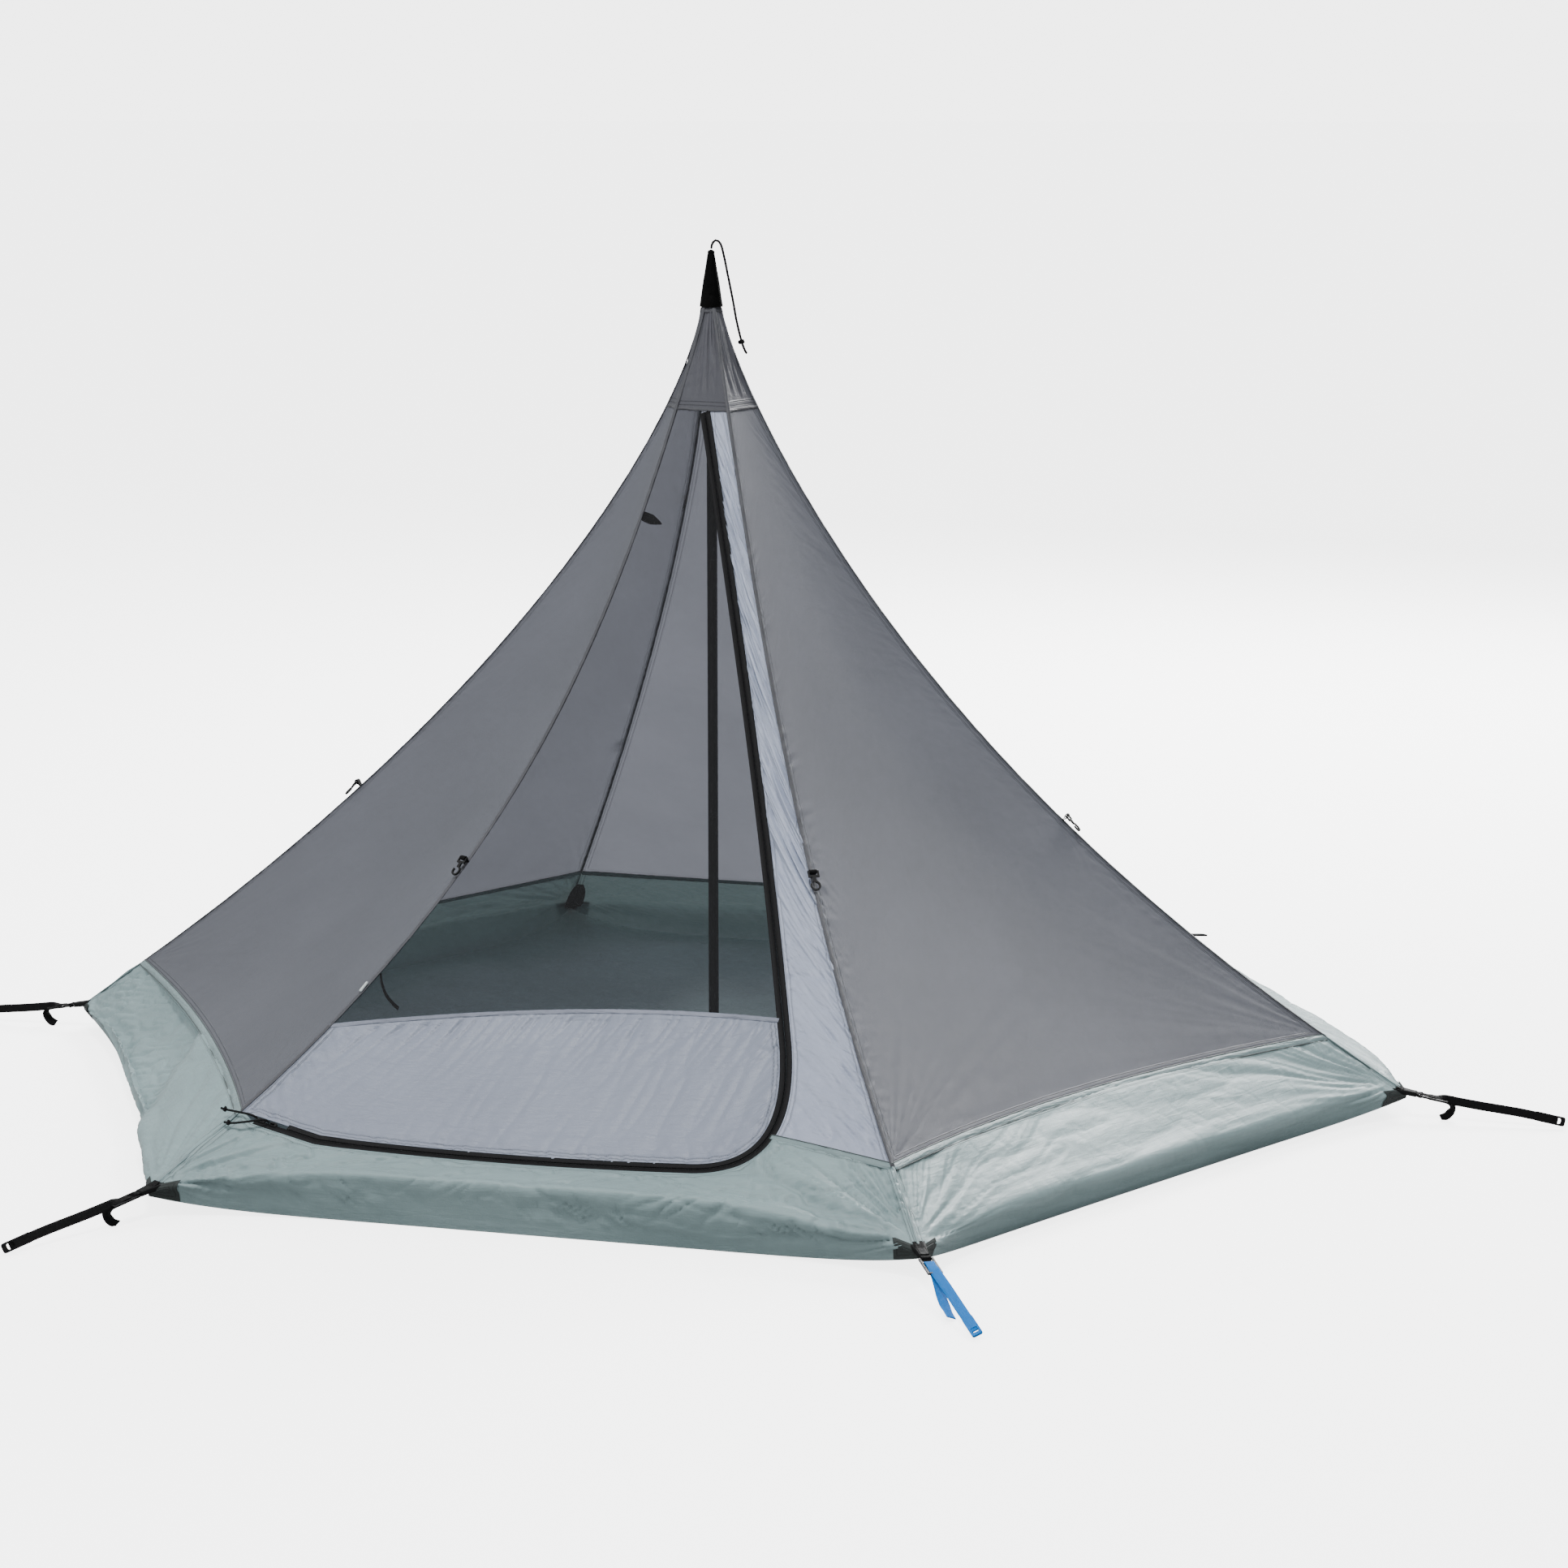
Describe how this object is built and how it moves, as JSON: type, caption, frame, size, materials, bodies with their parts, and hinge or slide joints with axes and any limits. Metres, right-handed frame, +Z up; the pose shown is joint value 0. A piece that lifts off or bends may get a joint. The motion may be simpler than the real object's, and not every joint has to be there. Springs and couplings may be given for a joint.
{
  "type": "teepee tent",
  "caption": "Hexagonal teepee inner tent on a centre pole, with a mesh and fabric door on an L-shaped zip, a green tub floor, tie-out hooks and stake straps.",
  "frame": {"origin": "on the ground under the peak, at the underside of the floor", "axes": "+Z up along the pole; the door side faces -Y; +X to the right of someone facing the door"},
  "size_m": [3.8806, 3.2899, 1.9145],
  "materials": {
    "canopy_nylon": "grey ripstop nylon, soft sheen",
    "door_nylon": "pale lilac-grey nylon, soft sheen",
    "insect_mesh": "fine black knitted mesh, see-through",
    "zip_black": "black coil zip on woven tape",
    "cord_black": "black braided cord",
    "tub_nylon": "sage green coated nylon, satin",
    "patch_fabric": "dark coated reinforcement fabric",
    "black_plastic": "black moulded plastic",
    "blue_webbing": "bright blue woven webbing",
    "black_webbing": "black woven webbing",
    "pole_rubber": "black rubber",
    "pole_metal": "black anodised tube",
    "pale_plastic": "pale grey plastic"
  },
  "bodies": {
    "tent": {"crown_cone": "canopy_nylon", "canopy_left_front": "canopy_nylon", "canopy_right_front": "canopy_nylon", "canopy_right_back": "canopy_nylon", "canopy_back": "canopy_nylon", "canopy_left_back": "canopy_nylon", "tub_wall_left_front": "tub_nylon", "tub_wall_right_front": "tub_nylon", "tub_wall_right_back": "tub_nylon", "tub_wall_back": "tub_nylon", "tub_wall_left_back": "tub_nylon", "tub_wall_door": "tub_nylon", "floor": "tub_nylon", "corner_patch_left": "patch_fabric", "corner_patch_front_left": "patch_fabric", "corner_patch_front_right": "patch_fabric", "corner_patch_right": "patch_fabric", "corner_patch_back_right": "patch_fabric", "corner_patch_back_left": "patch_fabric", "tieout_tab_left": "black_webbing", "tieout_tab_front_left": "black_webbing", "tieout_tab_front_right": "black_webbing", "tieout_tab_right": "black_webbing", "tieout_tab_back_right": "black_webbing", "tieout_tab_back_left": "black_webbing", "peak_cap": "black_plastic", "hang_cord": "cord_black", "door_surround": "door_nylon", "zip_frame_tape": "zip_black"},
    "door": {"door_mesh": "insect_mesh", "door_lower_panel": "door_nylon", "zip_door_tape": "zip_black"},
    "zip_slider_1": {"zip_slider_1": "zip_black", "zip_cord_1": "cord_black"},
    "zip_slider_2": {"zip_slider_2": "zip_black", "zip_cord_2": "cord_black"},
    "pole": {"pole_foot": "pole_rubber", "pole_section_1": "pole_metal", "pole_section_2": "pole_metal", "pole_section_3": "pole_metal"},
    "toggle": {"door_toggle": "pale_plastic"},
    "tie_band": {"door_tie_band": "black_webbing"},
    "buckle_left": {"corner_buckle_left": "black_plastic"},
    "strap_left": {"corner_strap_left": "black_webbing"},
    "hook_left": {"tieout_hook_left": "black_plastic"},
    "buckle_front_left": {"corner_buckle_front_left": "black_plastic"},
    "strap_front_left": {"corner_strap_front_left": "black_webbing"},
    "hook_front_left": {"tieout_hook_front_left": "black_plastic"},
    "buckle_front_right": {"corner_buckle_front_right": "black_plastic"},
    "strap_front_right": {"corner_strap_front_right": "blue_webbing"},
    "hook_front_right": {"tieout_hook_front_right": "black_plastic"},
    "buckle_right": {"corner_buckle_right": "black_plastic"},
    "strap_right": {"corner_strap_right": "black_webbing"},
    "hook_right": {"tieout_hook_right": "black_plastic"},
    "buckle_back_right": {"corner_buckle_back_right": "black_plastic"},
    "strap_back_right": {"corner_strap_back_right": "black_webbing"},
    "hook_back_right": {"tieout_hook_back_right": "black_plastic"},
    "buckle_back_left": {"corner_buckle_back_left": "black_plastic"},
    "strap_back_left": {"corner_strap_back_left": "black_webbing"},
    "hook_back_left": {"tieout_hook_back_left": "black_plastic"}
  },
  "joints": [
    {"name": "door_swing", "type": "hinge", "parent": "tent", "child": "door", "pos_m": [-0.368, -0.6374, 0.86], "axis": [-0.337, -0.5836, -0.7388], "range_deg": [0, 100]},
    {"name": "zip_slide_1", "type": "slide", "parent": "tent", "child": "zip_slider_1", "axis": [0.9719, -0.1367, -0.1915], "range_m": [0, 0.09]},
    {"name": "zip_slide_2", "type": "slide", "parent": "tent", "child": "zip_slider_2", "axis": [0.9719, -0.1367, -0.1915], "range_m": [0, 0.09]},
    {"name": "pole_tilt", "type": "hinge", "parent": "tent", "child": "pole", "pos_m": [0, 0, 1.79], "axis": [1, 0, 0], "range_deg": [-8, 8]},
    {"name": "buckle_swing_left", "type": "hinge", "parent": "tent", "child": "buckle_left", "pos_m": [-1.62664, 0, 0.05359], "axis": [0, 1, 0], "range_deg": [0, 60]},
    {"name": "strap_slide_left", "type": "slide", "parent": "buckle_left", "child": "strap_left", "axis": [-0.9866, 0, -0.1633], "range_m": [0, 0.012]},
    {"name": "hook_swing_left", "type": "hinge", "parent": "tent", "child": "hook_left", "pos_m": [-0.87084, 0, 0.64439], "axis": [0, 1, 0], "range_deg": [0, 150]},
    {"name": "buckle_swing_front_left", "type": "hinge", "parent": "tent", "child": "buckle_front_left", "pos_m": [-0.81332, -1.40871, 0.05359], "axis": [-0.866, 0.5, 0], "range_deg": [0, 60]},
    {"name": "strap_slide_front_left", "type": "slide", "parent": "buckle_front_left", "child": "strap_front_left", "axis": [-0.4933, -0.8544, -0.1633], "range_m": [0, 0.012]},
    {"name": "hook_swing_front_left", "type": "hinge", "parent": "tent", "child": "hook_front_left", "pos_m": [-0.37529, -0.65002, 0.61625], "axis": [-0.866, 0.5, 0], "range_deg": [0, 150]},
    {"name": "buckle_swing_front_right", "type": "hinge", "parent": "tent", "child": "buckle_front_right", "pos_m": [0.81332, -1.40871, 0.05359], "axis": [-0.866, -0.5, 0], "range_deg": [0, 60]},
    {"name": "strap_slide_front_right", "type": "slide", "parent": "buckle_front_right", "child": "strap_front_right", "axis": [0.4933, -0.8544, -0.1633], "range_m": [0, 0.012]},
    {"name": "hook_swing_front_right", "type": "hinge", "parent": "tent", "child": "hook_front_right", "pos_m": [0.41962, -0.72681, 0.644], "axis": [-0.866, -0.5, 0], "range_deg": [0, 150]},
    {"name": "buckle_swing_right", "type": "hinge", "parent": "tent", "child": "buckle_right", "pos_m": [1.62664, 0, 0.05359], "axis": [0, -1, 0], "range_deg": [0, 60]},
    {"name": "strap_slide_right", "type": "slide", "parent": "buckle_right", "child": "strap_right", "axis": [0.9866, 0, -0.1633], "range_m": [0, 0.012]},
    {"name": "hook_swing_right", "type": "hinge", "parent": "tent", "child": "hook_right", "pos_m": [0.82443, 0, 0.6443], "axis": [0, -1, 0], "range_deg": [0, 150]},
    {"name": "buckle_swing_back_right", "type": "hinge", "parent": "tent", "child": "buckle_back_right", "pos_m": [0.81332, 1.40871, 0.05359], "axis": [0.866, -0.5, 0], "range_deg": [0, 60]},
    {"name": "strap_slide_back_right", "type": "slide", "parent": "buckle_back_right", "child": "strap_back_right", "axis": [0.4933, 0.8544, -0.1633], "range_m": [0, 0.012]},
    {"name": "hook_swing_back_right", "type": "hinge", "parent": "tent", "child": "hook_back_right", "pos_m": [0.42204, 0.73099, 0.6443], "axis": [0.866, -0.5, 0], "range_deg": [0, 150]},
    {"name": "buckle_swing_back_left", "type": "hinge", "parent": "tent", "child": "buckle_back_left", "pos_m": [-0.81332, 1.40871, 0.05359], "axis": [0.866, 0.5, 0], "range_deg": [0, 60]},
    {"name": "strap_slide_back_left", "type": "slide", "parent": "buckle_back_left", "child": "strap_back_left", "axis": [-0.4933, 0.8544, -0.1633], "range_m": [0, 0.012]},
    {"name": "hook_swing_back_left", "type": "hinge", "parent": "tent", "child": "hook_back_left", "pos_m": [-0.45274, 0.78417, 0.64452], "axis": [0.866, 0.5, 0], "range_deg": [0, 150]},
    {"name": "toggle_swing", "type": "hinge", "parent": "tent", "child": "toggle", "pos_m": [-0.5004, -0.8667, 0.4033], "axis": [-0.866, 0.5, 0], "range_deg": [0, 120]},
    {"name": "tie_band_swing", "type": "hinge", "parent": "tent", "child": "tie_band", "pos_m": [-0.4925, -0.853, 0.398], "axis": [-0.866, 0.5, 0], "range_deg": [-60, 10]}
  ],
  "couplings": [
    {"joint": "zip_slide_1", "follows": "zip_slide_2", "ratio": 1}
  ]
}
